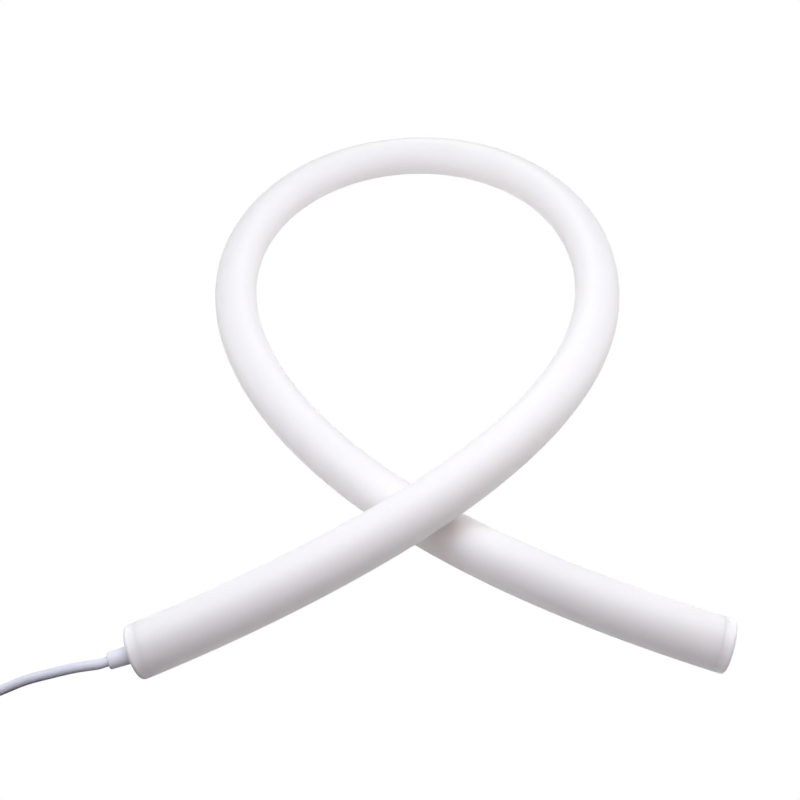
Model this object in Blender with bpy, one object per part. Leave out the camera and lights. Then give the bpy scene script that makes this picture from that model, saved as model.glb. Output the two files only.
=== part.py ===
"""Round LED neon flex bent into one loop with its ends crossed, its two end caps and its power lead.

Metres, +Z up. The tube lies on a floor at z = 0, and the origin is on that floor under the middle of the
box round the tube and its caps. The loop's top points to +Y, and both ends point to -Y.
"""

import math

import bmesh
import bpy
from mathutils import Matrix, Vector

# Flex tube: a solid silicone extrusion
TUBE_DIAMETER = 0.025
TUBE_LENGTH = 1.112  # along its middle, over both end caps
TUBE_SIDES = 24
TUBE_PIECE = 0.010  # spacing of the tube's rings along its middle

# How the tube lies, at even stations from the cable end to the plain end
CABLE_END_HEADING = 19.3  # degrees from +X, the way the tube leaves the cable end
BEND = (8.0, 8.9, 20.7, 31.8, 28.6, 44.5, 69.4, 45.8, 39.2, 23.0, 17.7, 10.2, 6.0)  # degrees
BEND_SPAN = 0.100  # length of tube over which each figure above is turned
RISE = (0.13, 0.88, 1.26, 0.95, 0.57, 0.07, 0.0, 0.0, 0.0, 0.0, 0.0)  # tube diameters off the floor
STRAND_GAP = 0.0004  # between the two strands where they cross

# Moulded end caps, flush with the tube
CAP_LENGTH = 0.0055
CAP_ROUNDING = 0.0018
SEAM = 0.0003  # between pieces that touch

# Moulded boot that the lead comes out of
BOOT_LENGTH = 0.0111
BOOT_BASE_DIAMETER = 0.0083
BOOT_FRONT_DIAMETER = 0.0076
BOOT_ROUNDING = 0.0008
BOOT_LEAN = 9.7  # degrees up from the way the cap's face looks, which leaves the lead level
BOOT_SIDES = 20

# Power lead: the stretch that isn't coiled
LEAD_DIAMETER = 0.0044
LEAD_SIDES = 10
LEAD_POINT_SPACING = 0.010
LEAD_STRAIGHT = 0.004  # straight run out of the boot
LEAD_ROUTE = (
    (-0.1574, -0.1951, 0.0140),
    (-0.1689, -0.1964, 0.0109),
    (-0.1807, -0.1979, 0.0072),
    (-0.1919, -0.2008, 0.0034),
)
LEAD_LIFT = 0.0001  # keeps the lead's underside just off the floor

# Coil of the lead's stored length: a ring of two turns side by side with a third in their groove
COIL_CENTRE = (-0.2208, -0.2414)
COIL_TURN_DIAMETER = 0.0484  # across the middle of the turns
COIL_JOIN = 113.5  # degrees round the coil, where the lead joins its outer turn
COIL_SIDES = 48

# Bare ends: two insulated cores with tinned tips, lying on the coil
CORE_DIAMETER = 0.0016
TIP_DIAMETER = 0.0009
CORE_LENGTH = 0.026
TIP_LENGTH = 0.007
CORE_START = 8.0  # degrees round the coil
CORE_SPREAD = 0.0030
CORE_SIDES = 8

SILICONE = (0.93, 0.93, 0.945, 1.0)
CAP_WHITE = (0.91, 0.91, 0.93, 1.0)
BOOT_WHITE = (0.80, 0.82, 0.88, 1.0)
LEAD_WHITE = (0.80, 0.81, 0.88, 1.0)
RED = (0.55, 0.03, 0.03, 1.0)
BLACK = (0.03, 0.03, 0.03, 1.0)
TIN = (0.72, 0.72, 0.74, 1.0)


def material(name, colour, roughness, metallic=0.0):
    made = bpy.data.materials.new(name)
    made.use_nodes = True
    shader = made.node_tree.nodes["Principled BSDF"]
    shader.inputs["Base Color"].default_value = colour
    shader.inputs["Roughness"].default_value = roughness
    shader.inputs["Metallic"].default_value = metallic
    made.diffuse_color = colour
    return made


def smooth(stations, share):
    """Value at a share of the way along even stations: a cubic B-spline from the first to the last."""
    padded = (2 * stations[0] - stations[1], *stations, 2 * stations[-1] - stations[-2])
    at = min(share, 1 - 1e-9) * (len(stations) - 1)
    first = int(at)
    t = at - first
    weights = (
        (1 - t) ** 3,
        3 * t**3 - 6 * t**2 + 4,
        -3 * t**3 + 3 * t**2 + 3 * t + 1,
        t**3,
    )
    return sum(weight * value for weight, value in zip(weights, padded[first : first + 4])) / 6


def tube_route(rise_scale):
    """Points along the tube's middle, from the cable end's face to the plain end's."""
    steps = round(TUBE_LENGTH / TUBE_PIECE) * 4
    step = TUBE_LENGTH / steps
    heading = math.radians(CABLE_END_HEADING)
    here = Vector((0, 0, TUBE_DIAMETER * (0.5 + rise_scale * RISE[0])))
    points = [here]
    for i in range(steps):
        turn = math.radians(smooth(BEND, (i + 0.5) / steps)) / BEND_SPAN * step
        height = TUBE_DIAMETER * (0.5 + rise_scale * smooth(RISE, (i + 1) / steps))
        plan = math.sqrt(step**2 - (height - here.z) ** 2)
        middle = heading + turn / 2
        here = Vector((here.x + plan * math.cos(middle), here.y + plan * math.sin(middle), height))
        heading += turn
        points.append(here)
    return points


def crossing(points):
    """Places in the list of the two points where the strands cross in plan: the upper and the lower."""
    best = None
    part = len(points) // 3
    for i in range(part):
        for j in range(len(points) - part, len(points)):
            apart = (points[i].xy - points[j].xy).length
            if best is None or apart < best[0]:
                best = (apart, i, j)
    return best[1], best[2]


def resting_route():
    """The route with its rise set so that one strand lies on the other where they cross."""
    scale = 1.0
    for _ in range(3):
        points = tube_route(scale)
        upper, lower = crossing(points)
        slope = (points[upper + 1] - points[upper]).normalized()
        needed = (TUBE_DIAMETER + STRAND_GAP) / math.hypot(slope.x, slope.y)
        scale *= needed / (points[upper].z - points[lower].z)
    return tube_route(scale)


def centred(points):
    """The route moved so that the box round the capped tube has its middle over the origin."""
    radius = TUBE_DIAMETER / 2
    sides = []
    for axis in (0, 1):
        low, high = [], []
        for i, point in enumerate(points):
            ahead = (points[min(i + 1, len(points) - 1)] - points[max(i - 1, 0)]).normalized()
            from_end = min(i, len(points) - 1 - i) * TUBE_LENGTH / (len(points) - 1)
            into_rounding = max(0.0, CAP_ROUNDING - from_end)
            narrowing = CAP_ROUNDING - math.sqrt(CAP_ROUNDING**2 - into_rounding**2)
            reach = (radius - narrowing) * math.sqrt(1 - ahead[axis] ** 2)
            low.append(point[axis] - reach)
            high.append(point[axis] + reach)
        sides.append((min(low) + max(high)) / 2)
    shift = Vector((sides[0], sides[1], 0))
    return [point - shift for point in points]


def at_length(points, length):
    """Point at a length along the tube's route, whose points are evenly spaced."""
    place = min(length / TUBE_LENGTH, 1 - 1e-9) * (len(points) - 1)
    first = int(place)
    return points[first].lerp(points[first + 1], place - first)


def curve_tube(name, points, diameter, sides, finish):
    """A capped tube of even diameter through the points."""
    data = bpy.data.curves.new(name, "CURVE")
    data.dimensions = "3D"
    data.bevel_depth = diameter / 2
    data.bevel_resolution = (sides - 4) // 2
    data.use_fill_caps = True
    spline = data.splines.new("POLY")
    spline.points.add(len(points) - 1)
    for place, point in zip(spline.points, points):
        place.co = (*point, 1)
    spline.use_smooth = True
    data.materials.append(finish)
    made = bpy.data.objects.new(name, data)
    bpy.context.collection.objects.link(made)
    return made


def turned(name, profile, sides, finish, closed=False):
    """A solid turned about Z from (radius, height) points, listed bottom to top on the outer side.

    An open profile starts and ends on the axis. A closed one makes a ring.
    """
    mesh = bmesh.new()
    rings = []
    for radius, height in profile:
        if radius < 1e-7:
            rings.append([mesh.verts.new((0, 0, height))])
            continue
        corners = []
        for k in range(sides):
            angle = 2 * math.pi * k / sides
            corners.append(mesh.verts.new((radius * math.cos(angle), radius * math.sin(angle), height)))
        rings.append(corners)
    pairs = list(zip(rings, rings[1:]))
    if closed:
        pairs.append((rings[-1], rings[0]))
    for lower, upper in pairs:
        for k in range(sides):
            after = (k + 1) % sides
            if len(lower) == 1:
                mesh.faces.new((lower[0], upper[after], upper[k]))
            elif len(upper) == 1:
                mesh.faces.new((lower[k], lower[after], upper[0]))
            else:
                mesh.faces.new((lower[k], lower[after], upper[after], upper[k]))
    bmesh.ops.recalc_face_normals(mesh, faces=mesh.faces)
    data = bpy.data.meshes.new(name)
    mesh.to_mesh(data)
    mesh.free()
    data.shade_smooth()
    data.set_sharp_from_angle(angle=math.radians(35))
    data.materials.append(finish)
    made = bpy.data.objects.new(name, data)
    bpy.context.collection.objects.link(made)
    return made


def stand_along(made, base, direction):
    """Moves a turned solid so that its foot is at base and its axis runs along direction."""
    turn = direction.to_track_quat("Z", "Y").to_matrix().to_4x4()
    made.matrix_world = Matrix.Translation(base) @ turn


def cap_profile():
    """End cap: flat inner face, straight wall and a rounded rim round the flat end face."""
    radius = TUBE_DIAMETER / 2
    arc = []
    for k in range(6):
        angle = math.radians(90 * k / 5)
        across = radius - CAP_ROUNDING + CAP_ROUNDING * math.cos(angle)
        arc.append((across, CAP_LENGTH - CAP_ROUNDING + CAP_ROUNDING * math.sin(angle)))
    return [(0, 0), (radius, 0), *arc, (0, CAP_LENGTH)]


def boot_profile():
    """Lead boot: a slight taper to a front edge that is eased all round."""
    base = BOOT_BASE_DIAMETER / 2
    front = BOOT_FRONT_DIAMETER / 2
    length = BOOT_LENGTH - SEAM
    eased = front - BOOT_ROUNDING
    return [
        (0, 0),
        (base, 0),
        (front, length - BOOT_ROUNDING),
        (front - 0.3 * BOOT_ROUNDING, length - 0.3 * BOOT_ROUNDING),
        (eased, length),
        (0, length),
    ]


def coil_profile():
    """Outer shape of the wound lead: two turns side by side and one in the groove on top of them."""
    middle = COIL_TURN_DIAMETER / 2
    lead = LEAD_DIAMETER
    top = lead * (1 + math.sqrt(3) / 2)
    return [
        (middle - 0.80 * lead, 0),
        (middle + 0.80 * lead, 0),
        (middle + lead, 0.3 * lead),
        (middle + lead, 0.8 * lead),
        (middle + 0.40 * lead, top),
        (middle - 0.40 * lead, top),
        (middle - lead, 0.8 * lead),
        (middle - lead, 0.3 * lead),
    ]


def through(points, spacing):
    """Evenly spaced points on a smooth curve through the given ones."""
    ends = (2 * points[0] - points[1], *points, 2 * points[-1] - points[-2])
    fine = []
    for i in range(len(points) - 1):
        a, b, c, d = ends[i : i + 4]
        for k in range(24):
            t = k / 24
            fine.append(0.5 * (2 * b + (c - a) * t + (2 * a - 5 * b + 4 * c - d) * t**2 + (3 * b - a - 3 * c + d) * t**3))
    fine.append(points[-1])
    run = [0.0]
    for before, after in zip(fine, fine[1:]):
        run.append(run[-1] + (after - before).length)
    count = max(2, round(run[-1] / spacing))
    even = []
    for k in range(count + 1):
        want = run[-1] * k / count
        i = min(max(j for j, length in enumerate(run) if length <= want), len(fine) - 2)
        share = (want - run[i]) / (run[i + 1] - run[i])
        even.append(fine[i].lerp(fine[i + 1], share))
    return even


def make_tube(route, finish):
    first = CAP_LENGTH + SEAM
    last = TUBE_LENGTH - CAP_LENGTH - SEAM
    count = round((last - first) / TUBE_PIECE)
    points = [at_length(route, first + (last - first) * k / count) for k in range(count + 1)]
    curve_tube("flex_tube", points, TUBE_DIAMETER, TUBE_SIDES, finish)
    return points


def make_caps(points, finish):
    """Both caps. Gives the middle of the cable cap's face and the way that it looks."""
    out_of_cable_end = (points[0] - points[1]).normalized()
    out_of_plain_end = (points[-1] - points[-2]).normalized()
    for name, end, out in (
        ("cable_end_cap", points[0], out_of_cable_end),
        ("plain_end_cap", points[-1], out_of_plain_end),
    ):
        cap = turned(name, cap_profile(), TUBE_SIDES, finish)
        stand_along(cap, end + out * SEAM, out)
    return points[0] + out_of_cable_end * (SEAM + CAP_LENGTH), out_of_cable_end


def make_boot(face, out, finish):
    """The boot on the cable cap. Gives the point where the lead starts and the way that it goes."""
    boot = turned("cable_boot", boot_profile(), BOOT_SIDES, finish)
    stand_along(boot, face + out * SEAM, out)
    level = Vector((0, 0, 1)).cross(out).normalized()
    hinge = boot.matrix_world.to_3x3().inverted() @ level
    ahead = Matrix.Rotation(-math.radians(BOOT_LEAN), 3, hinge) @ Vector((0, 0, 1))
    for corner in boot.data.vertices:
        share = corner.co.z / (BOOT_LENGTH - SEAM)
        lean = Matrix.Rotation(-math.radians(BOOT_LEAN) * share, 3, hinge)
        corner.co = ahead * corner.co.z + lean @ Vector((corner.co.x, corner.co.y, 0))
    way = boot.matrix_world.to_3x3() @ ahead
    return face + out * SEAM + way * BOOT_LENGTH, way


def lead_join():
    """Where the lead reaches the coil: its end, and the point before it on the same straight line."""
    middle = Vector((*COIL_CENTRE, LEAD_DIAMETER / 2 + LEAD_LIFT))
    turn_radius = (COIL_TURN_DIAMETER + LEAD_DIAMETER) / 2
    outside = COIL_TURN_DIAMETER / 2 + LEAD_DIAMETER + SEAM
    back = math.sqrt(outside**2 - (turn_radius - LEAD_DIAMETER / 2) ** 2)
    angle = math.radians(COIL_JOIN)
    touch = middle + turn_radius * Vector((math.cos(angle), math.sin(angle), 0))
    along = Vector((math.sin(angle), -math.cos(angle), 0))
    return touch + along * back, touch + along * 2 * back


def make_lead(start, way, finish):
    end, before = lead_join()
    route = [start + way * LEAD_STRAIGHT, *(Vector(point) for point in LEAD_ROUTE), before, end]
    points = [start, *through(route, LEAD_POINT_SPACING)]
    curve_tube("lead", points, LEAD_DIAMETER, LEAD_SIDES, finish)


def make_coil(finish):
    coil = turned("lead_coil", coil_profile(), COIL_SIDES, finish, closed=True)
    coil.location = (*COIL_CENTRE, LEAD_LIFT)


def make_bare_ends(red, black, tin):
    """Two insulated cores that lie along the top of the coil, each with a tinned tip."""
    height = LEAD_LIFT + LEAD_DIAMETER * (1 + math.sqrt(3) / 2) + SEAM + CORE_DIAMETER / 2
    middle = Vector((*COIL_CENTRE, height))
    for name, side, finish in (("red", 0.5, red), ("black", -0.5, black)):
        radius = COIL_TURN_DIAMETER / 2 + side * CORE_SPREAD
        start = math.radians(CORE_START)

        def on_ring(length):
            angle = start + length / radius
            return middle + radius * Vector((math.cos(angle), math.sin(angle), 0))

        core = [on_ring(CORE_LENGTH * k / 10) for k in range(11)]
        curve_tube("core_" + name, core, CORE_DIAMETER, CORE_SIDES, finish)
        tip = [on_ring(CORE_LENGTH + SEAM + TIP_LENGTH * k / 4) for k in range(5)]
        curve_tube("tip_" + name, tip, TIP_DIAMETER, CORE_SIDES, tin)


def main():
    for obj in list(bpy.data.objects):
        bpy.data.objects.remove(obj, do_unlink=True)
    silicone = material("Silicone", SILICONE, 0.45)
    cap_white = material("Cap silicone", CAP_WHITE, 0.40)
    boot_white = material("Boot", BOOT_WHITE, 0.45)
    lead_white = material("Lead jacket", LEAD_WHITE, 0.40)
    route = centred(resting_route())
    points = make_tube(route, silicone)
    face, out = make_caps(points, cap_white)
    start, way = make_boot(face, out, boot_white)
    make_lead(start, way, lead_white)
    make_coil(lead_white)
    make_bare_ends(
        material("Red core", RED, 0.4),
        material("Black core", BLACK, 0.4),
        material("Tin", TIN, 0.3, 1.0),
    )


main()
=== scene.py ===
"""LED neon flex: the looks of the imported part, laid out as a Blender add-on and run as a script."""

import math

import bmesh
import bpy
from bpy.props import FloatProperty, FloatVectorProperty, IntProperty, PointerProperty
from bpy.types import Operator, Panel, PropertyGroup
from mathutils import Matrix, Vector


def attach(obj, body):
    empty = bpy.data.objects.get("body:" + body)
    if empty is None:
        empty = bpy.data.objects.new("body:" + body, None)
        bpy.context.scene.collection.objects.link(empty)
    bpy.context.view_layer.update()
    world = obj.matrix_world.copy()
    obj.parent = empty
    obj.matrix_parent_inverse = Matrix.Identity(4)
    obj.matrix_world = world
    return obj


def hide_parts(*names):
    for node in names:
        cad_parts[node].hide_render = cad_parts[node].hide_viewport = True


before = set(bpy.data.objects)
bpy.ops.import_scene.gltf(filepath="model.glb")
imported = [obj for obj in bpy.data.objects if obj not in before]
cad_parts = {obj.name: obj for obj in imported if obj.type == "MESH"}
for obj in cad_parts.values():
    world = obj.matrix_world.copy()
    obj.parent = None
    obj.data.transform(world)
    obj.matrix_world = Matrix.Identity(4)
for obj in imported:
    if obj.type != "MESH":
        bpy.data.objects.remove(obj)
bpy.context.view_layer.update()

bl_info = {
    "name": "LED neon flex",
    "version": (1, 0, 0),
    "blender": (4, 5, 0),
    "location": "3D View > Sidebar > Neon flex",
    "description": "A loop of round silicone neon flex with its end caps and its coiled power lead",
    "category": "Add Mesh",
}

BODY = "root"

# How the tube lies, at even stations from the cable end to the plain end
CABLE_END_HEADING = 19.3  # degrees from +X, the way the tube leaves the cable end
BEND = (8.0, 8.9, 20.7, 31.8, 28.6, 44.5, 69.4, 45.8, 39.2, 23.0, 17.7, 10.2, 6.0)  # degrees
BEND_SPAN = 0.100  # length of tube over which each figure above is turned
RISE = (0.13, 0.88, 1.26, 0.95, 0.57, 0.07, 0.0, 0.0, 0.0, 0.0, 0.0)  # tube diameters off the floor
ROUTE_PIECE = 0.010  # the route is worked out in quarters of this
RISE_ROUNDS = 3  # tries at the rise, each from the clearance of the one before
STRAND_GAP = 0.0004  # between the two strands where they cross

# The lead's route from the boot to the coil, then the coil
LEAD_INSIDE_BOOT = 0.0015
LEAD_STRAIGHT = 0.004  # straight run out of the boot
LEAD_ROUTE = (
    (-0.1574, -0.1951, 0.0140),
    (-0.1689, -0.1964, 0.0109),
    (-0.1807, -0.1979, 0.0072),
    (-0.1919, -0.2008, 0.0034),
)
LEAD_LIFT = 0.0001  # keeps the lead's underside just off the floor
LEAD_ROUTE_STEP = 0.002  # between points of the route, before the coil joins it
LEAD_RING = 0.0015  # between rings of the finished lead
CURVE_PARTS = 24  # of a curve, between two of the points that it goes through
COIL_CENTRE = (-0.2208, -0.2414)
COIL_TURN_DIAMETER = 0.0484  # across the middle of the turns
COIL_JOIN = 113.5  # degrees round the coil, where the lead joins its outer turn
COIL_STEP = 3.0  # degrees between points on the coil

# Degrees past the join where each stage of the winding starts or ends
INWARD_FROM = 300.0
INWARD_TO = 360.0
CLIMB_FROM = 600.0
CLIMB_TO = 660.0
HUMP_AT = 690.0
HUMP_HALF_WIDTH = 30.0
END_RISE_FROM = 925.0
JACKET_END = 972.0

# What the winding does at those stages
GROOVE_ROLL = 60.0  # degrees that a turn rolls round the outer one, to lie in the groove on top
HUMP_RISE = 0.155  # lead diameters, over the place where the turn below moves inward
END_OUTWARD = 0.16  # lead diameters, by which the jacket's end leaves the groove
END_RISE = 0.15

# The bare cores and their tips, by the length out of the jacket
CORE_INSIDE = 0.0015  # inside the jacket
CORE_OVER = 0.024  # length over which the pair comes to lie on the turn below
CORE_DROP = 0.008  # length over which it comes down to that turn
CORE_APART = 0.0009  # each from the middle between them, at the jacket
CORE_SPREADS = ((0.0009, 0.002, 0.022), (0.0010, 0.014, 0.034))  # further apart: by how much, from, to
CORE_BESIDE = 0.0019  # furthest that a core rests beside the middle of that turn
CORE_LIFT = 0.0001  # clear of that turn
CORE_SIDES = 24
CORE_RINGS = 40
TIP_INSIDE = 0.001  # inside the core's insulation
TIP_SIDES = 56
STRANDS = 7
STRAND_DEPTH = 0.22  # of the grooves between strands, as a share of the tip's radius
STRAND_LAY = 0.009  # length of one full twist

# The moulded pieces
CAP_SIDES = 96
CAP_BACK_EDGE = 0.00002  # rounding of the edge at the seam
CAP_BACK_STEPS = 4
CAP_RIM_STEPS = 20
CAP_FACE_RING = 0.0004  # inside the rim, where the face's shading is flat already
CAP_HIGHLIGHT_FROM = 0.7  # share of the cap's length from which its colour is all painted highlight, lighter than the tube's
MOULD_LINE_HALF_WIDTH = math.radians(0.9)
MOULD_LINE_CORNERS = (-1.4, -1.0, -0.7, -0.45, -0.2, 0, 0.2, 0.45, 0.7, 1.0, 1.4)  # degrees from its middle
MOULD_LINE_CLEAR = 0.03  # the cap's even corners this close to a mould line, in radians, are left out
BOOT_SIDES = 64
BOOT_FRONT_EDGE = 0.0007  # rounding of the front edge
BOOT_BACK_EDGE = 0.0001
BOOT_FOOT = 0.0006  # height at which the taper starts
BORE_CLEARANCE = 0.00015  # round the lead
BORE_LIP = 0.0002
BORE_DEPTH = 0.002

EXTRUSION = "Extrusion along a route"
SHARP_EDGE = math.radians(50)
ALMOST_ALL = 1 - 1e-9  # share of a list of points that its last stretch still holds

# A Mix node's colour sockets by number, because its other kinds share their names
MIX_FIRST = 6
MIX_SECOND = 7
MIX_RESULT = 2

# The stage's round sheets: the floor that is seen, and the two that only throw light back
FLOOR_RADIUS = 6.0
BOUNCE_RADIUS = 2.0
BOUNCE_MIDDLE = (0, 0, -0.0002)
CARD_RADIUS = 0.08
CARD_MIDDLE = (-0.205, -0.205, -0.0001)

# Colours of the lamps
COOL = (0.88, 0.925, 1.0)
PALE = (0.94, 0.96, 1.0)
WARM = (1.0, 0.975, 0.92)
ROSY = (1.0, 0.67, 0.77)

# Softboxes, which all look at the middle of the floor: name, where, width in metres, power in watts, colour
SOFTBOXES = (
    ("High", (0.0, 0.05, 0.9), 0.60, 2.23, COOL),
    ("Over the loop", (0.0, 0.0, 0.55), 0.40, 1.39, COOL),
    ("Left", (-0.9, 0.2, 0.2), 0.30, 1.64, WARM),
    ("Right", (0.9, 0.2, 0.2), 0.30, 2.15, PALE),
    ("Near left", (-0.35, -0.12, 0.45), 0.27, 0.79, COOL),
    ("Near right", (0.35, -0.12, 0.45), 0.27, 0.62, WARM),
    ("Near front", (0.0, -0.35, 0.55), 0.30, 0.34, ROSY),
    ("Behind", (0.0, 0.5, 0.25), 0.15, 0.51, WARM),
)


class FlexSizes(PropertyGroup):
    """Sizes of the flex and its lead."""

    tube_diameter: FloatProperty(
        name="Tube diameter", description="Outside of the silicone tube", default=0.025, unit="LENGTH"
    )
    tube_length: FloatProperty(
        name="Length", description="Along the tube's middle, over both caps", default=1.112, unit="LENGTH"
    )
    tube_sides: IntProperty(name="Tube sides", description="Faces round the tube", default=96)
    tube_ring: FloatProperty(
        name="Tube ring spacing", description="Along the tube's middle", default=0.0025, unit="LENGTH"
    )
    cap_length: FloatProperty(
        name="Cap length", description="From the seam to the end face", default=0.0055, unit="LENGTH"
    )
    cap_rounding: FloatProperty(
        name="Cap rounding", description="Radius of the cap's rim", default=0.0018, unit="LENGTH"
    )
    seam: FloatProperty(
        name="Seam", description="Gap between the solids that touch", default=0.0003, unit="LENGTH"
    )
    joint: FloatProperty(
        name="Joint",
        description="What stays open where a cap is glued to the tube",
        default=0.00001,
        unit="LENGTH",
    )
    parting_line: FloatProperty(
        name="Parting line",
        description="Height of the mould line on the caps",
        default=0.00005,
        unit="LENGTH",
    )
    boot_length: FloatProperty(
        name="Boot length",
        description="How far the boot stands out of its cap",
        default=0.0111,
        unit="LENGTH",
    )
    boot_base: FloatProperty(
        name="Boot base", description="Diameter where it meets the cap", default=0.0083, unit="LENGTH"
    )
    boot_front: FloatProperty(
        name="Boot front", description="Diameter at the lead", default=0.0076, unit="LENGTH"
    )
    boot_lean: FloatProperty(
        name="Boot lean",
        description="How far the boot leans up from the way its cap looks",
        default=math.radians(9.7),
        subtype="ANGLE",
    )
    lead_diameter: FloatProperty(
        name="Lead diameter", description="Outside of the jacket", default=0.0044, unit="LENGTH"
    )
    lead_sides: IntProperty(name="Lead sides", description="Faces round the lead", default=32)
    core_diameter: FloatProperty(
        name="Core diameter", description="Outside of each core's insulation", default=0.0016, unit="LENGTH"
    )
    core_length: FloatProperty(
        name="Core length", description="Insulated length out of the jacket", default=0.026, unit="LENGTH"
    )
    tip_diameter: FloatProperty(
        name="Tip diameter", description="Across the tinned strands", default=0.0009, unit="LENGTH"
    )
    tip_length: FloatProperty(
        name="Tip length", description="Tinned length", default=0.007, unit="LENGTH"
    )


def tint(label, value):
    """A colour that a user can change."""
    return FloatVectorProperty(
        name=label, description=label, default=value, subtype="COLOR", size=3, min=0, max=1
    )


class FlexFinish(PropertyGroup):
    """Colours and surfaces."""

    silicone: tint("Silicone", (0.875, 0.86, 0.85))
    silicone_shade: tint("Silicone, denser places", (0.86, 0.843, 0.832))
    # The caps' light colour is a painted highlight on the rounded rim and the end face, not a lighter
    # silicone
    cap: tint("Cap silicone", (0.95, 0.935, 0.93))
    boot: tint("Boot", (0.865, 0.875, 0.925))
    jacket: tint("Lead jacket", (0.785, 0.80, 0.885))
    red: tint("Red core", (0.52, 0.02, 0.02))
    black: tint("Black core", (0.02, 0.02, 0.022))
    tin: tint("Tinned strands", (0.74, 0.74, 0.76))
    milkiness: FloatProperty(
        name="Milkiness",
        description="Share of light that spreads inside the silicone",
        default=0.3,
        min=0,
        max=1,
    )
    depth: FloatProperty(
        name="Spread", description="How far light spreads inside the silicone", default=0.003, unit="LENGTH"
    )


class StudioSettings(PropertyGroup):
    """Stage, lamps and camera."""

    background: FloatProperty(
        name="Background", description="Brightness of the floor and backdrop", default=1.0
    )
    bounce: tint("Bounce", (0.785, 0.76, 0.755))
    card: tint("Dark card", (0.12, 0.12, 0.12))
    floor_glow: FloatProperty(
        name="Floor glow", description="Light that comes up through the floor", default=0.124
    )
    lamp_power: FloatProperty(name="Lamp power", description="Scales every lamp", default=1.0)
    lens: FloatProperty(name="Lens", description="Focal length on a 36 mm sensor, in mm", default=40.5)
    eye: FloatVectorProperty(
        name="Camera",
        description="Where the camera stands",
        default=(-0.014929, -0.363166, 0.389678),
        size=3,
    )
    look_down: FloatProperty(
        name="Look down",
        description="Angle below the horizon",
        default=math.radians(49.317),
        subtype="ANGLE",
    )


class Wire:
    """An output socket, so that sums on it are written as plain expressions."""

    def __init__(self, maker, socket):
        self.maker = maker
        self.socket = socket

    def maths(self, operation, first, second):
        return self.maker.node("ShaderNodeMath", {"operation": operation}, {0: first, 1: second})

    def __add__(self, other):
        return self.maths("ADD", self, other)

    def __radd__(self, other):
        return self.maths("ADD", other, self)

    def __sub__(self, other):
        return self.maths("SUBTRACT", self, other)

    def __rsub__(self, other):
        return self.maths("SUBTRACT", other, self)

    def __mul__(self, other):
        return self.maths("MULTIPLY", self, other)

    def __rmul__(self, other):
        return self.maths("MULTIPLY", other, self)


class NodeMaker:
    """Adds nodes to one tree, for a material or for shapes."""

    def __init__(self, tree):
        self.tree = tree
        tree.nodes.clear()

    def node(self, kind, settings=None, values=None, output=0):
        """One node: its settings are set first, then its sockets get values or links."""
        made = self.tree.nodes.new(kind)
        for name, value in (settings or {}).items():
            setattr(made, name, value)
        for name, value in (values or {}).items():
            if isinstance(value, Wire):
                self.tree.links.new(value.socket, made.inputs[name])
            else:
                made.inputs[name].default_value = value
        return Wire(self, made.outputs[output]) if len(made.outputs) else None


class Finish(NodeMaker):
    """A procedural material."""

    def __init__(self, name):
        self.material = bpy.data.materials.new(name)
        self.material.use_nodes = True
        super().__init__(self.material.node_tree)

    def straightened(self, stretch=(1, 1, 1)):
        """Place on the piece as if its route were straight: across, across and along, in metres."""
        place = self.node("ShaderNodeAttribute", {"attribute_name": "straight"}, output="Vector")
        return self.node("ShaderNodeVectorMath", {"operation": "MULTIPLY"}, {0: place, 1: stretch})

    def here(self):
        """Place in the object's own space, in metres."""
        return self.node("ShaderNodeTexCoord", output="Object")

    def noise(self, place, size, detail=2.0):
        """Cloudy noise from 0 to 1 whose features are about this size, in metres."""
        values = {"Vector": place, "Scale": 1 / size, "Detail": detail}
        return self.node("ShaderNodeTexNoise", values=values)

    def blend(self, share, first, second):
        """From the first colour to the second. The first may come from another node."""
        first = first if isinstance(first, Wire) else (*first, 1)
        return self.node(
            "ShaderNodeMix",
            {"data_type": "RGBA"},
            {"Factor": share, MIX_FIRST: first, MIX_SECOND: (*second, 1)},
            output=MIX_RESULT,
        )

    def bump(self, height, depth):
        """Surface relief: height from 0 to 1 stands for this many metres."""
        return self.node("ShaderNodeBump", values={"Height": height, "Strength": 1.0, "Distance": depth})

    def surface(self, values):
        """The finished material, with these values or links on its shader."""
        shader = self.node("ShaderNodeBsdfPrincipled", {"subsurface_method": "RANDOM_WALK"}, values)
        self.node("ShaderNodeOutputMaterial", values={"Surface": shader})
        return self.material


def dimmed(colour, share):
    """The same colour at a share of its brightness."""
    return tuple(share * part for part in colour)


def milky(finish):
    """Sockets of a silicone that light goes into."""
    return {
        "IOR": 1.41,
        "Subsurface Weight": finish.milkiness,
        "Subsurface Radius": (1.0, 0.86, 0.76),
        "Subsurface Scale": finish.depth,
    }


def silicone_material(finish):
    """The extruded tube: milky and satin, with faint die lines along it and a fine frosting."""
    made = Finish("Milky silicone")
    cloud = made.noise(made.straightened(), size=0.035, detail=3)
    frosting = made.noise(made.straightened(), size=0.0005)
    die_lines = made.noise(made.straightened((1, 1, 0.01)), size=0.0011, detail=3)
    relief = made.bump(0.45 * frosting + 0.55 * die_lines, depth=0.000012)
    return made.surface(
        {
            "Base Color": made.blend(cloud, finish.silicone, finish.silicone_shade),
            "Roughness": 0.44 + 0.10 * cloud + 0.04 * frosting,
            "Normal": relief,
            **milky(finish),
        }
    )


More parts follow.
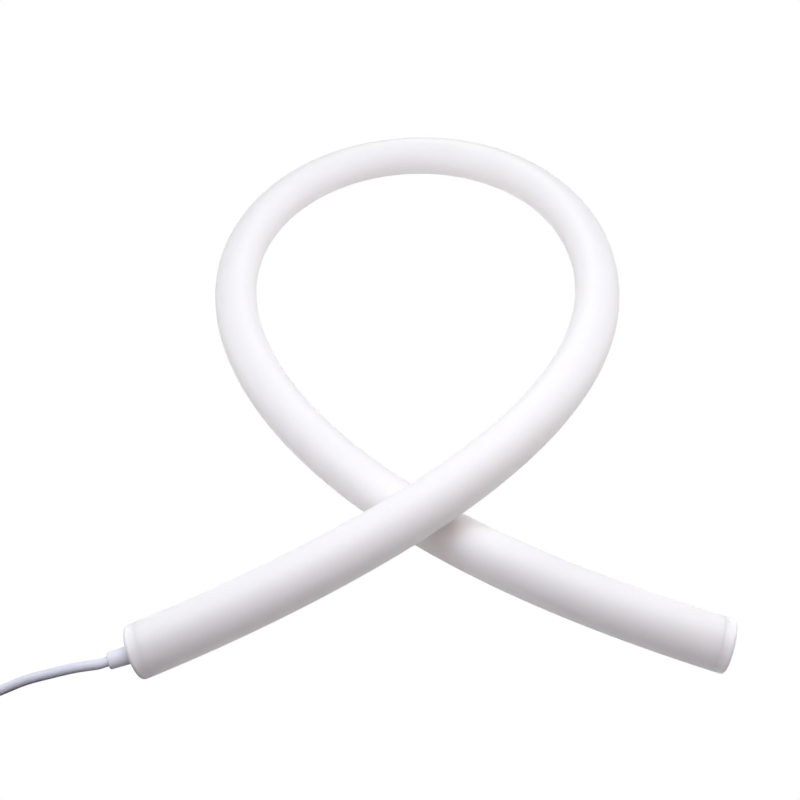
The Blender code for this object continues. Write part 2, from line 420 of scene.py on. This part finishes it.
def cap_material(finish, sizes):
    """The moulded caps: finer in their frosting than the tube, and lighter away from the glued seam: a
    painted highlight on the rounded rim and the end face.
    """
    made = Finish("Moulded silicone")
    cloud = made.noise(made.here(), size=0.012, detail=3)
    frosting = made.noise(made.here(), size=0.0004)
    height = made.node("ShaderNodeAttribute", {"attribute_name": "height"}, output="Fac")
    # Painted highlight: from the tube's colour at the seam to the light cap colour over the rounded rim and
    # the end face, for the light that the rim catches
    rim_highlight = made.node(
        "ShaderNodeMapRange",
        {"interpolation_type": "SMOOTHSTEP"},
        {"Value": height, "From Min": 0.0, "From Max": CAP_HIGHLIGHT_FROM * sizes.cap_length},
    )
    glued = made.blend(cloud, finish.silicone, finish.silicone_shade)
    return made.surface(
        {
            # The colour blended in towards the rim is a painted highlight
            "Base Color": made.blend(rim_highlight, glued, finish.cap),
            "Roughness": 0.40 + 0.10 * cloud + 0.04 * frosting,
            "Normal": made.bump(frosting, depth=0.000008),
            **milky(finish),
        }
    )


def boot_material(finish):
    """The moulded boot: cool white soft plastic."""
    made = Finish("Cool white boot")
    cloud = made.noise(made.here(), size=0.004, detail=3)
    grain = made.noise(made.here(), size=0.0003)
    return made.surface(
        {
            "Base Color": made.blend(cloud, finish.boot, dimmed(finish.boot, 0.94)),
            "Roughness": 0.42 + 0.12 * grain,
            "Specular IOR Level": 0.35,
            "Normal": made.bump(grain, depth=0.00001),
        }
    )


def jacket_material(finish):
    """The lead's jacket: smooth cool white plastic with faint lines along it."""
    made = Finish("Lead jacket")
    cloud = made.noise(made.straightened(), size=0.012, detail=3)
    lines = made.noise(made.straightened((1, 1, 0.02)), size=0.0006)
    peel = made.noise(made.straightened(), size=0.0009)
    return made.surface(
        {
            "Base Color": made.blend(cloud, finish.jacket, dimmed(finish.jacket, 0.96)),
            "Roughness": 0.38 + 0.12 * cloud,
            "Specular IOR Level": 0.35,
            "Normal": made.bump(0.5 * lines + 0.5 * peel, depth=0.000004),
        }
    )


def core_material(name, colour):
    """Insulation of one core: smooth glossy plastic."""
    made = Finish(name)
    cloud = made.noise(made.straightened((1, 1, 0.3)), size=0.0015)
    brighter = tuple(min(1.0, 1.25 * part + 0.004) for part in colour)
    return made.surface(
        {
            "Base Color": made.blend(cloud, colour, brighter),
            "Roughness": 0.28 + 0.12 * cloud,
            "Normal": made.bump(cloud, depth=0.00002),
        }
    )


def tin_material(finish):
    """Tinned copper strands: bright and dull in runs along them, where the solder has flowed."""
    made = Finish("Tinned strands")
    runs = made.noise(made.straightened((1, 1, 0.4)), size=0.0005, detail=3)
    return made.surface(
        {
            "Base Color": made.blend(runs, finish.tin, dimmed(finish.tin, 0.62)),
            "Metallic": 1.0,
            "Roughness": 0.22 + 0.25 * runs,
            "Normal": made.bump(runs, depth=0.00003),
        }
    )


def smooth(stations, share):
    """Value at a share of the way along even stations: a cubic B-spline from the first to the last."""
    padded = (2 * stations[0] - stations[1], *stations, 2 * stations[-1] - stations[-2])
    at = min(share, ALMOST_ALL) * (len(stations) - 1)
    first = int(at)
    t = at - first
    weights = (
        (1 - t) ** 3,
        3 * t**3 - 6 * t**2 + 4,
        -3 * t**3 + 3 * t**2 + 3 * t + 1,
        t**3,
    )
    return sum(weight * value for weight, value in zip(weights, padded[first : first + 4])) / 6


def tube_route(sizes, rise_scale):
    """Points along the tube's middle, from the cable end's face to the plain end's."""
    steps = round(sizes.tube_length / ROUTE_PIECE) * 4
    step = sizes.tube_length / steps
    heading = math.radians(CABLE_END_HEADING)
    here = Vector((0, 0, sizes.tube_diameter * (0.5 + rise_scale * RISE[0])))
    points = [here]
    for i in range(steps):
        turn = math.radians(smooth(BEND, (i + 0.5) / steps)) / BEND_SPAN * step
        height = sizes.tube_diameter * (0.5 + rise_scale * smooth(RISE, (i + 1) / steps))
        plan = math.sqrt(step**2 - (height - here.z) ** 2)
        middle = heading + turn / 2
        here = Vector((here.x + plan * math.cos(middle), here.y + plan * math.sin(middle), height))
        heading += turn
        points.append(here)
    return points


def crossing(points):
    """Where in the list the strands cross in plan: the upper in its first third, the lower in its last."""
    part = len(points) // 3
    pairs = ((i, j) for i in range(part) for j in range(len(points) - part, len(points)))
    return min(pairs, key=lambda pair: (points[pair[0]].xy - points[pair[1]].xy).length)


def resting_route(sizes):
    """The route with its rise set so that one strand lies on the other where they cross."""
    scale = 1.0
    for _ in range(RISE_ROUNDS):
        points = tube_route(sizes, scale)
        upper, lower = crossing(points)
        slope = (points[upper + 1] - points[upper]).normalized()
        needed = (sizes.tube_diameter + STRAND_GAP) / math.hypot(slope.x, slope.y)
        scale *= needed / (points[upper].z - points[lower].z)
    return tube_route(sizes, scale)


def placed_route(sizes):
    """The resting route, moved so that the capped tube's box is centred over the origin."""
    points = resting_route(sizes)
    radius = sizes.tube_diameter / 2
    shift = Vector((0, 0, 0))
    for axis in (0, 1):
        low, high = [], []
        for i, point in enumerate(points):
            ahead = (points[min(i + 1, len(points) - 1)] - points[max(i - 1, 0)]).normalized()
            from_end = min(i, len(points) - 1 - i) * sizes.tube_length / (len(points) - 1)
            into_rounding = max(0.0, sizes.cap_rounding - from_end)
            narrowing = sizes.cap_rounding - math.sqrt(sizes.cap_rounding**2 - into_rounding**2)
            reach = (radius - narrowing) * math.sqrt(1 - ahead[axis] ** 2)
            low.append(point[axis] - reach)
            high.append(point[axis] + reach)
        shift[axis] = (min(low) + max(high)) / 2
    return [point - shift for point in points]


def at_length(sizes, points, length):
    """Point at a length along the tube's route, whose points are evenly spaced."""
    place = min(length / sizes.tube_length, ALMOST_ALL) * (len(points) - 1)
    first = int(place)
    return points[first].lerp(points[first + 1], place - first)


def tube_ends(sizes):
    """The tube's own route between its caps, and for each end its middle and the way out of it."""
    route = placed_route(sizes)
    first = sizes.cap_length + sizes.seam
    last = sizes.tube_length - first
    count = round((last - first) / sizes.tube_ring)
    points = [at_length(sizes, route, first + (last - first) * k / count) for k in range(count + 1)]
    cable = (points[0], (points[0] - points[1]).normalized())
    plain = (points[-1], (points[-1] - points[-2]).normalized())
    return points, cable, plain


def boot_foot(sizes, middle, out):
    """Where the boot stands, the level line that it leans about, and the way that it points."""
    foot = middle + out * (2 * sizes.seam + sizes.cap_length)
    hinge = Vector((0, 0, 1)).cross(out).normalized()
    return foot, hinge, Matrix.Rotation(-sizes.boot_lean, 3, hinge) @ out


def through(points, spacing):
    """Evenly spaced points on a smooth curve through the given ones."""
    ends = (2 * points[0] - points[1], *points, 2 * points[-1] - points[-2])
    fine = []
    for i in range(len(points) - 1):
        a, b, c, d = ends[i : i + 4]
        for k in range(CURVE_PARTS):
            t = k / CURVE_PARTS
            straight = (c - a) * t
            square = (2 * a - 5 * b + 4 * c - d) * t**2
            cube = (3 * b - a - 3 * c + d) * t**3
            fine.append(0.5 * (2 * b + straight + square + cube))
    fine.append(points[-1])
    return even(fine, spacing)


def even(points, spacing):
    """The same polyline with evenly spaced points."""
    run = [0.0]
    for before, after in zip(points, points[1:]):
        run.append(run[-1] + (after - before).length)
    count = max(2, round(run[-1] / spacing))
    made = []
    i = 0
    for k in range(count + 1):
        want = run[-1] * k / count
        while i < len(points) - 2 and run[i + 1] < want:
            i += 1
        share = (want - run[i]) / (run[i + 1] - run[i])
        made.append(points[i].lerp(points[i + 1], min(1.0, share)))
    return made


def eased(value, low, high):
    """0 before low, 1 after high, and a smooth step between."""
    share = min(1.0, max(0.0, (value - low) / (high - low)))
    return share * share * (3 - 2 * share)


def round_coil(past_join, radius, height):
    """Place this many degrees past the join, this far from the coil's middle and this high."""
    angle = math.radians(COIL_JOIN + past_join)
    x = COIL_CENTRE[0] + radius * math.cos(angle)
    y = COIL_CENTRE[1] + radius * math.sin(angle)
    return Vector((x, y, height))


def on_coil(sizes, past_join):
    """Middle of the lead this many degrees past the place where it joins the coil.

    One turn lies on the floor, the next inside it, and the last climbs into the groove on top of them.
    """
    lead = sizes.lead_diameter
    outer = (COIL_TURN_DIAMETER + lead) / 2
    radius = outer - lead * eased(past_join, INWARD_FROM, INWARD_TO)
    height = lead / 2 + LEAD_LIFT
    if past_join > CLIMB_FROM:
        roll = math.radians(GROOVE_ROLL * eased(past_join, CLIMB_FROM, CLIMB_TO))
        radius = outer - lead * math.cos(roll)
        height += lead * math.sin(roll)
    over_crossover = max(0.0, 1 - abs(past_join - HUMP_AT) / HUMP_HALF_WIDTH)
    height += HUMP_RISE * lead * eased(over_crossover, 0, 1)
    at_end = eased(past_join, END_RISE_FROM, JACKET_END)
    radius += END_OUTWARD * lead * at_end
    height += END_RISE * lead * at_end
    return round_coil(past_join, radius, height)


def lead_route(sizes, start, way):
    """Middle of the lead from inside the boot to the end of its jacket."""
    touch = on_coil(sizes, 0)
    angle = math.radians(COIL_JOIN)
    along = Vector((math.sin(angle), -math.cos(angle), 0))
    outside = COIL_TURN_DIAMETER / 2 + sizes.lead_diameter + sizes.seam
    back = math.sqrt(outside**2 - (COIL_TURN_DIAMETER / 2) ** 2)
    route = [
        start + way * LEAD_STRAIGHT,
        *(Vector(point) for point in LEAD_ROUTE),
        touch + along * 2 * back,
        touch + along * back,
    ]
    laid = [start - way * LEAD_INSIDE_BOOT, start, *through(route, LEAD_ROUTE_STEP)]
    turns = [on_coil(sizes, COIL_STEP * k) for k in range(int(JACKET_END / COIL_STEP) + 1)]
    return even([*laid, *turns], LEAD_RING)


def core_route(sizes, side, first, last):
    """Points on one core between two lengths out of the jacket. side is -1 or 1.

    The core goes on round the coil, drops onto the turn under it and spreads away from the other core.
    """
    end = on_coil(sizes, JACKET_END)
    end_radius = (end.xy - Vector(COIL_CENTRE)).length
    clear = (sizes.lead_diameter + sizes.core_diameter) / 2
    made = []
    for k in range(CORE_RINGS + 1):
        length = first + (last - first) * k / CORE_RINGS
        past_join = JACKET_END + math.degrees(length / (COIL_TURN_DIAMETER / 2))
        under = on_coil(sizes, past_join - 360)
        under_radius = (under.xy - Vector(COIL_CENTRE)).length
        radius = end_radius + (under_radius - end_radius) * eased(length, 0.0, CORE_OVER)
        apart = CORE_APART
        for more, low, high in CORE_SPREADS:
            apart += more * eased(length, low, high)
        radius += side * apart
        beside = min(abs(radius - under_radius), CORE_BESIDE)
        rest_on = under.z + math.sqrt(clear**2 - beside**2) + CORE_LIFT
        height = end.z + (rest_on - end.z) * eased(length, 0.0, CORE_DROP)
        made.append(round_coil(past_join, radius, height))
    return made


def extrusion_tree():
    """Geometry nodes that run a round or stranded section along a route."""
    tree = bpy.data.node_groups.new(EXTRUSION, "GeometryNodeTree")
    tree.is_modifier = True
    face = tree.interface
    face.new_socket("Route", in_out="INPUT", socket_type="NodeSocketGeometry")
    for name, kind, value in (
        ("Diameter", "NodeSocketFloat", 0.01),
        ("Sides", "NodeSocketInt", 32),
        ("Strands", "NodeSocketInt", 1),
        ("Strand Depth", "NodeSocketFloat", 0.0),
        ("Twist", "NodeSocketFloat", 0.0),
        ("Material", "NodeSocketMaterial", None),
    ):
        socket = face.new_socket(name, in_out="INPUT", socket_type=kind)
        if value is not None:
            socket.default_value = value
    face.new_socket("Piece", in_out="OUTPUT", socket_type="NodeSocketGeometry")
    maker = NodeMaker(tree)
    given = tree.nodes.new("NodeGroupInput")

    def value(name):
        return Wire(maker, given.outputs[name])

    line = maker.node("GeometryNodeMeshToCurve", values={"Mesh": value("Route")})
    length = maker.node("GeometryNodeSplineParameter", output="Length")
    line = maker.node(
        "GeometryNodeStoreNamedAttribute",
        {"data_type": "FLOAT", "domain": "POINT"},
        {"Geometry": line, "Name": "along", "Value": length},
    )
    line = maker.node("GeometryNodeSetCurveTilt", values={"Curve": line, "Tilt": length * value("Twist")})

    ring = maker.node(
        "GeometryNodeCurvePrimitiveCircle",
        {"mode": "RADIUS"},
        {"Resolution": value("Sides"), "Radius": value("Diameter") * 0.5},
    )
    turn = maker.node("GeometryNodeSplineParameter", output="Factor") * (2 * math.pi)
    crown = maker.node("ShaderNodeMath", {"operation": "COSINE"}, {0: turn * value("Strands")})
    swell = 1 - value("Strand Depth") * (0.5 - 0.5 * crown)
    section = maker.node(
        "ShaderNodeVectorMath",
        {"operation": "SCALE"},
        {0: maker.node("GeometryNodeInputPosition"), "Scale": swell},
    )
    ring = maker.node("GeometryNodeSetPosition", values={"Geometry": ring, "Position": section})
    ring = maker.node(
        "GeometryNodeStoreNamedAttribute",
        {"data_type": "FLOAT_VECTOR", "domain": "POINT"},
        {"Geometry": ring, "Name": "across", "Value": maker.node("GeometryNodeInputPosition")},
    )

    piece = maker.node(
        "GeometryNodeCurveToMesh", values={"Curve": line, "Profile Curve": ring, "Fill Caps": True}
    )
    across = maker.node(
        "GeometryNodeInputNamedAttribute", {"data_type": "FLOAT_VECTOR"}, {"Name": "across"}
    )
    along = maker.node("GeometryNodeInputNamedAttribute", {"data_type": "FLOAT"}, {"Name": "along"})
    straight = maker.node(
        "ShaderNodeVectorMath",
        {"operation": "ADD"},
        {0: across, 1: maker.node("ShaderNodeCombineXYZ", values={"Z": along})},
    )
    piece = maker.node(
        "GeometryNodeStoreNamedAttribute",
        {"data_type": "FLOAT_VECTOR", "domain": "POINT"},
        {"Geometry": piece, "Name": "straight", "Value": straight},
    )
    corner = maker.node("GeometryNodeInputMeshEdgeAngle")
    sharp = maker.node(
        "FunctionNodeCompare",
        {"data_type": "FLOAT", "operation": "GREATER_THAN"},
        {0: corner, 1: SHARP_EDGE},
    )
    piece = maker.node(
        "GeometryNodeSetShadeSmooth",
        {"domain": "EDGE"},
        {"Geometry": piece, "Selection": sharp, "Shade Smooth": False},
    )
    piece = maker.node("GeometryNodeRealizeInstances", values={"Geometry": piece})
    piece = maker.node("GeometryNodeSetMaterial", values={"Geometry": piece, "Material": value("Material")})
    maker.node("NodeGroupOutput", values={0: piece})
    return tree


def extrude(name, points, inputs):
    """A piece with a round or stranded section along the points, as a plain mesh."""
    data = bpy.data.meshes.new(name)
    data.from_pydata(points, [(i, i + 1) for i in range(len(points) - 1)], [])
    piece = bpy.data.objects.new(name, data)
    bpy.context.collection.objects.link(piece)
    tree = bpy.data.node_groups.get(EXTRUSION) or extrusion_tree()
    modifier = piece.modifiers.new("Extrusion", "NODES")
    modifier.node_group = tree
    for item in tree.interface.items_tree:
        if item.in_out == "INPUT" and item.name in inputs:
            modifier[item.identifier] = inputs[item.name]
    return baked(piece)


def baked(piece):
    """The piece with its modifiers' result as its own mesh."""
    graph = bpy.context.evaluated_depsgraph_get()
    plain = bpy.data.meshes.new_from_object(
        piece.evaluated_get(graph), preserve_all_data_layers=True, depsgraph=graph
    )
    before = piece.data
    piece.modifiers.clear()
    piece.data = plain
    bpy.data.meshes.remove(before)
    plain.name = piece.name
    return piece


def turned(name, profile, angles, base, direction, material, relief=None):
    """A solid turned from (radius, height) points, with its foot at base and its axis along direction.

    The profile is listed bottom to top on the outer side. relief gives the height of a raised line at an
    angle and a place in the profile. Each corner keeps its height above the foot, for materials to read.
    """
    mesh = bmesh.new()
    turn = Matrix.Translation(base) @ direction.to_track_quat("Z", "Y").to_matrix().to_4x4()
    rings = []
    heights = []
    for place, (radius, height) in enumerate(profile):
        if radius == 0:
            rings.append([mesh.verts.new(turn @ Vector((0, 0, height)))])
            heights.append(height)
            continue
        corners = []
        for angle in angles:
            reach = radius + (relief(angle, place) if relief else 0)
            corner = Vector((reach * math.cos(angle), reach * math.sin(angle), height))
            corners.append(mesh.verts.new(turn @ corner))
        rings.append(corners)
        heights += [height] * len(angles)
    count = len(angles)
    for lower, upper in zip(rings, rings[1:]):
        for k in range(count):
            after = (k + 1) % count
            if len(lower) == 1:
                mesh.faces.new((lower[0], upper[after], upper[k]))
            elif len(upper) == 1:
                mesh.faces.new((lower[k], lower[after], upper[0]))
            else:
                mesh.faces.new((lower[k], lower[after], upper[after], upper[k]))
    bmesh.ops.recalc_face_normals(mesh, faces=mesh.faces)
    data = bpy.data.meshes.new(name)
    mesh.to_mesh(data)
    mesh.free()
    data.attributes.new("height", "FLOAT", "POINT").data.foreach_set("value", heights)
    data.shade_smooth()
    data.set_sharp_from_angle(angle=SHARP_EDGE)
    data.materials.append(material)
    piece = bpy.data.objects.new(name, data)
    bpy.context.collection.objects.link(piece)
    return piece


def arc(centre_radius, centre_height, rounding, first, last, count):
    """Points of a profile's rounding, from one angle to another in degrees."""
    made = []
    for k in range(count + 1):
        angle = math.radians(first + (last - first) * k / count)
        radius = centre_radius + rounding * math.cos(angle)
        made.append((radius, centre_height + rounding * math.sin(angle)))
    return made


def cap_profile(sizes):
    """End cap: a slightly eased back edge, a straight wall, a rounded rim and a flat end face."""
    radius = sizes.tube_diameter / 2
    ease = CAP_BACK_EDGE
    wall = sizes.cap_length - sizes.cap_rounding
    flat = radius - sizes.cap_rounding
    return [
        (0, 0),
        (radius - 3 * ease, 0),
        *arc(radius - ease, ease, ease, -90, 0, CAP_BACK_STEPS),
        (radius, 0.3 * wall + ease),
        *arc(flat, wall, sizes.cap_rounding, 0, 90, CAP_RIM_STEPS),
        (flat - CAP_FACE_RING, sizes.cap_length),
        (0.5 * flat, sizes.cap_length),
        (0, sizes.cap_length),
    ]


def boot_profile(sizes):
    """Lead boot: a slight taper, an eased front edge and a shallow bore that the lead goes into."""
    base = sizes.boot_base / 2
    front = sizes.boot_front / 2
    length = sizes.boot_length - sizes.seam
    back, ease, lip = BOOT_BACK_EDGE, BOOT_FRONT_EDGE, BORE_LIP
    bore = sizes.lead_diameter / 2 + BORE_CLEARANCE
    return [
        (0, 0),
        (base - 4 * back, 0),
        *arc(base - back, back, back, -90, 0, 3),
        (base - 0.2 * back, BOOT_FOOT),
        *arc(front - ease, length - ease, ease, 0, 90, 8),
        *arc(bore + lip, length - lip, lip, 90, 180, 5),
        (bore, length - BORE_DEPTH),
        (0, length - BORE_DEPTH),
    ]


def round_angles(count):
    """Even angles round a whole turn."""
    return [2 * math.pi * k / count for k in range(count)]


def cap_angles():
    """Even angles, with closer ones round the two mould lines."""
    close = [math.radians(step) for step in MOULD_LINE_CORNERS]
    made = [angle for angle in round_angles(CAP_SIDES) if abs(math.sin(angle)) > MOULD_LINE_CLEAR]
    made += [angle % (2 * math.pi) for angle in close]
    made += [math.pi + angle for angle in close]
    return sorted(made)


class NEONFLEX_OT_lead(Operator):
    """Power lead: out of the boot, along the floor and into a small coil"""

    bl_idname = "neonflex.lead"
    bl_label = "Power lead"

    def execute(self, context):
        sizes, finish = context.scene.flex_sizes, context.scene.flex_finish
        _, (middle, out), _ = tube_ends(sizes)
        foot, _, way = boot_foot(sizes, middle, out)
        start = foot + way * sizes.boot_length
        points = lead_route(sizes, start, way)
        lead = extrude(
            "power_lead",
            points,
            {
                "Diameter": sizes.lead_diameter,
                "Sides": sizes.lead_sides,
                "Material": jacket_material(finish),
            },
        )
        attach(lead, BODY)
        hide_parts("lead", "lead_coil")
        length = sum((after - before).length for before, after in zip(points, points[1:]))
        return {"FINISHED"}


class NEONFLEX_OT_boot(Operator):
    """Moulded boot that the lead comes out of"""

    bl_idname = "neonflex.boot"
    bl_label = "Lead boot"

    def execute(self, context):
        sizes, finish = context.scene.flex_sizes, context.scene.flex_finish
        _, (middle, out), _ = tube_ends(sizes)
        foot, hinge, way = boot_foot(sizes, middle, out)
        corners = round_angles(BOOT_SIDES)
        boot = turned("lead_boot", boot_profile(sizes), corners, foot, out, boot_material(finish))
        # The front leans the most, and the foot stays flat on the cap
        for corner in boot.data.vertices:
            ahead = (corner.co - foot).dot(out)
            share = ahead / (sizes.boot_length - sizes.seam)
            lean = Matrix.Rotation(-sizes.boot_lean * share, 3, hinge)
            corner.co = foot + way * ahead + lean @ (corner.co - foot - out * ahead)
        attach(boot, BODY)
        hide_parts("cable_boot")
        return {"FINISHED"}


class NEONFLEX_OT_bare_ends(Operator):
    """Two insulated cores out of the jacket's end, each with a tinned tip"""

    bl_idname = "neonflex.bare_ends"
    bl_label = "Bare ends"

    def execute(self, context):
        sizes, finish = context.scene.flex_sizes, context.scene.flex_finish
        tin = tin_material(finish)
        for colour, side in (("red", 1), ("black", -1)):
            material = core_material(colour.capitalize() + " core", tuple(getattr(finish, colour)))
            core = extrude(
                colour + "_core",
                core_route(sizes, side, -CORE_INSIDE, sizes.core_length),
                {"Diameter": sizes.core_diameter, "Sides": CORE_SIDES, "Material": material},
            )
            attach(core, BODY)
            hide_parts("core_" + colour)
            tip = extrude(
                colour + "_tip",
                core_route(
                    sizes, side, sizes.core_length - TIP_INSIDE, sizes.core_length + sizes.tip_length
                ),
                {
                    "Diameter": sizes.tip_diameter,
                    "Sides": TIP_SIDES,
                    "Strands": STRANDS,
                    "Strand Depth": STRAND_DEPTH,
                    "Twist": 2 * math.pi / STRAND_LAY,
                    "Material": tin,
                },
            )
            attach(tip, BODY)
            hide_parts("tip_" + colour)
        return {"FINISHED"}


class NEONFLEX_OT_tube(Operator):
    """The round silicone tube, one extrusion bent into a loop"""

    bl_idname = "neonflex.tube"
    bl_label = "Flex tube"

    def execute(self, context):
        sizes, finish = context.scene.flex_sizes, context.scene.flex_finish
        points, (_, cable_out), (_, plain_out) = tube_ends(sizes)
        reach = sizes.seam - sizes.joint
        points = [points[0] + cable_out * reach, *points, points[-1] + plain_out * reach]
        tube = extrude(
            "silicone_tube",
            points,
            {
                "Diameter": sizes.tube_diameter,
                "Sides": sizes.tube_sides,
                "Material": silicone_material(finish),
            },
        )
        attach(tube, BODY)
        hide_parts("flex_tube")
        return {"FINISHED"}


class NEONFLEX_OT_end_caps(Operator):
    """The two moulded end caps"""

    bl_idname = "neonflex.end_caps"
    bl_label = "End caps"

    def execute(self, context):
        sizes, finish = context.scene.flex_sizes, context.scene.flex_finish
        material = cap_material(finish, sizes)
        profile = cap_profile(sizes)
        # The mould line starts where the profile's back edge ends, and stops just short of the flat face
        seam_edge = 2 + CAP_BACK_STEPS
        wall_and_rim = range(seam_edge, seam_edge + CAP_RIM_STEPS)

        def mould_line(angle, place):
            """Height of the line that the two halves of the mould leave, on opposite sides."""
            if place not in wall_and_rim:
                return 0.0
            from_line = abs(math.sin(angle)) / math.sin(MOULD_LINE_HALF_WIDTH)
            return sizes.parting_line * max(0.0, 1 - from_line**2)

        _, cable, plain = tube_ends(sizes)
        for name, node, (middle, out) in (
            ("moulded_cable_cap", "cable_end_cap", cable),
            ("moulded_plain_cap", "plain_end_cap", plain),
        ):
            cap = turned(name, profile, cap_angles(), middle + out * sizes.seam, out, material, mould_line)
            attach(cap, BODY)
            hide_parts(node)
        return {"FINISHED"}


def floor_material(name, glow, bounce=(0, 0, 0)):
    """White light given off, and the colour of the light thrown back."""
    made = Finish(name)
    given = made.node("ShaderNodeEmission", values={"Color": (1, 1, 1, 1), "Strength": glow})
    thrown = made.node("ShaderNodeBsdfDiffuse", values={"Color": (*bounce, 1)})
    both = made.node("ShaderNodeAddShader", values={0: given, 1: thrown})
    made.node("ShaderNodeOutputMaterial", values={"Surface": both})
    # The floors are too large to be aimed at: that would leave fewer rays for the lamps, and more grain
    made.material.cycles.emission_sampling = "NONE"
    return made.material


def disc(name, radius, middle, material):
    """A round sheet that lies level and isn't part of the object."""
    mesh = bmesh.new()
    bmesh.ops.create_circle(mesh, cap_ends=True, segments=96, radius=radius)
    bmesh.ops.translate(mesh, verts=mesh.verts, vec=middle)
    data = bpy.data.meshes.new(name)
    mesh.to_mesh(data)
    mesh.free()
    data.materials.append(material)
    made = bpy.data.objects.new(name, data)
    bpy.context.collection.objects.link(made)
    return made


def softbox(name, place, width, power, colour):
    """A square soft lamp that looks at the middle of the floor and isn't seen itself."""
    light = bpy.data.lights.new(name, "AREA")
    light.shape = "SQUARE"
    light.size = width
    light.energy = power
    light.color = colour
    lamp = bpy.data.objects.new(name, light)
    lamp.location = place
    lamp.rotation_euler = Vector(place).to_track_quat("Z", "Y").to_euler()
    lamp.visible_camera = False
    bpy.context.collection.objects.link(lamp)


class NEONFLEX_OT_stage(Operator):
    """Pale floor and backdrop, soft lamps and the camera"""

    bl_idname = "neonflex.stage"
    bl_label = "Stage"

    def execute(self, context):
        studio = context.scene.flex_studio
        scene = context.scene
        scene.view_settings.view_transform = "Standard"

        lens = bpy.data.cameras.new("Camera")
        lens.lens = studio.lens
        lens.sensor_width = 36.0
        camera = bpy.data.objects.new("Camera", lens)
        camera.location = studio.eye
        camera.rotation_euler = (math.pi / 2 - studio.look_down, 0, 0)
        scene.collection.objects.link(camera)
        scene.camera = camera

        pale = floor_material("Pale floor", studio.background)
        seen = disc("pale_floor", FLOOR_RADIUS, (0, 0, 0), pale)
        seen.visible_diffuse = False
        seen.visible_glossy = False
        seen.visible_shadow = False
        bounce = floor_material("Bounce floor", studio.floor_glow, studio.bounce)
        card = floor_material("Dark card", 0.0, studio.card)
        for thrown in (
            disc("bounce_floor", BOUNCE_RADIUS, BOUNCE_MIDDLE, bounce),
            disc("dark_card", CARD_RADIUS, CARD_MIDDLE, card),
        ):
            thrown.visible_camera = False

        for name, place, width, power, colour in SOFTBOXES:
            softbox(name, place, width, power * studio.lamp_power, colour)

        world = bpy.data.worlds.new("Studio")
        scene.world = world
        world.use_nodes = True
        backdrop = world.node_tree.nodes["Background"]
        backdrop.inputs["Color"].default_value = (1, 1, 1, 1)
        backdrop.inputs["Strength"].default_value = studio.background
        world.cycles_visibility.diffuse = False
        world.cycles_visibility.glossy = False
        return {"FINISHED"}


class NEONFLEX_PT_panel(Panel):
    """Lists the pieces, their sizes and their finishes"""

    bl_label = "Neon flex"
    bl_idname = "NEONFLEX_PT_panel"
    bl_space_type = "VIEW_3D"
    bl_region_type = "UI"
    bl_category = "Neon flex"

    def draw(self, context):
        for group in (context.scene.flex_sizes, context.scene.flex_finish, context.scene.flex_studio):
            box = self.layout.box()
            for name in group.__annotations__:
                box.prop(group, name)
        for operator in OPERATORS:
            self.layout.operator(operator.bl_idname)


GROUPS = (
    (FlexSizes, "flex_sizes"),
    (FlexFinish, "flex_finish"),
    (StudioSettings, "flex_studio"),
)
OPERATORS = (
    NEONFLEX_OT_stage,
    NEONFLEX_OT_boot,
    NEONFLEX_OT_bare_ends,
    NEONFLEX_OT_lead,
    NEONFLEX_OT_tube,
    NEONFLEX_OT_end_caps,
)


def register():
    for group, name in GROUPS:
        bpy.utils.register_class(group)
        setattr(bpy.types.Scene, name, PointerProperty(type=group))
    for operator in OPERATORS:
        bpy.utils.register_class(operator)
    bpy.utils.register_class(NEONFLEX_PT_panel)


def unregister():
    bpy.utils.unregister_class(NEONFLEX_PT_panel)
    for operator in reversed(OPERATORS):
        bpy.utils.unregister_class(operator)
    for group, name in reversed(GROUPS):
        delattr(bpy.types.Scene, name)
        bpy.utils.unregister_class(group)


def main():
    """Makes the stage and the pieces."""
    register()
    bpy.ops.neonflex.stage()
    bpy.ops.neonflex.boot()
    bpy.ops.neonflex.bare_ends()
    bpy.ops.neonflex.lead()
    bpy.ops.neonflex.tube()
    bpy.ops.neonflex.end_caps()


if __name__ == "__main__":
    main()
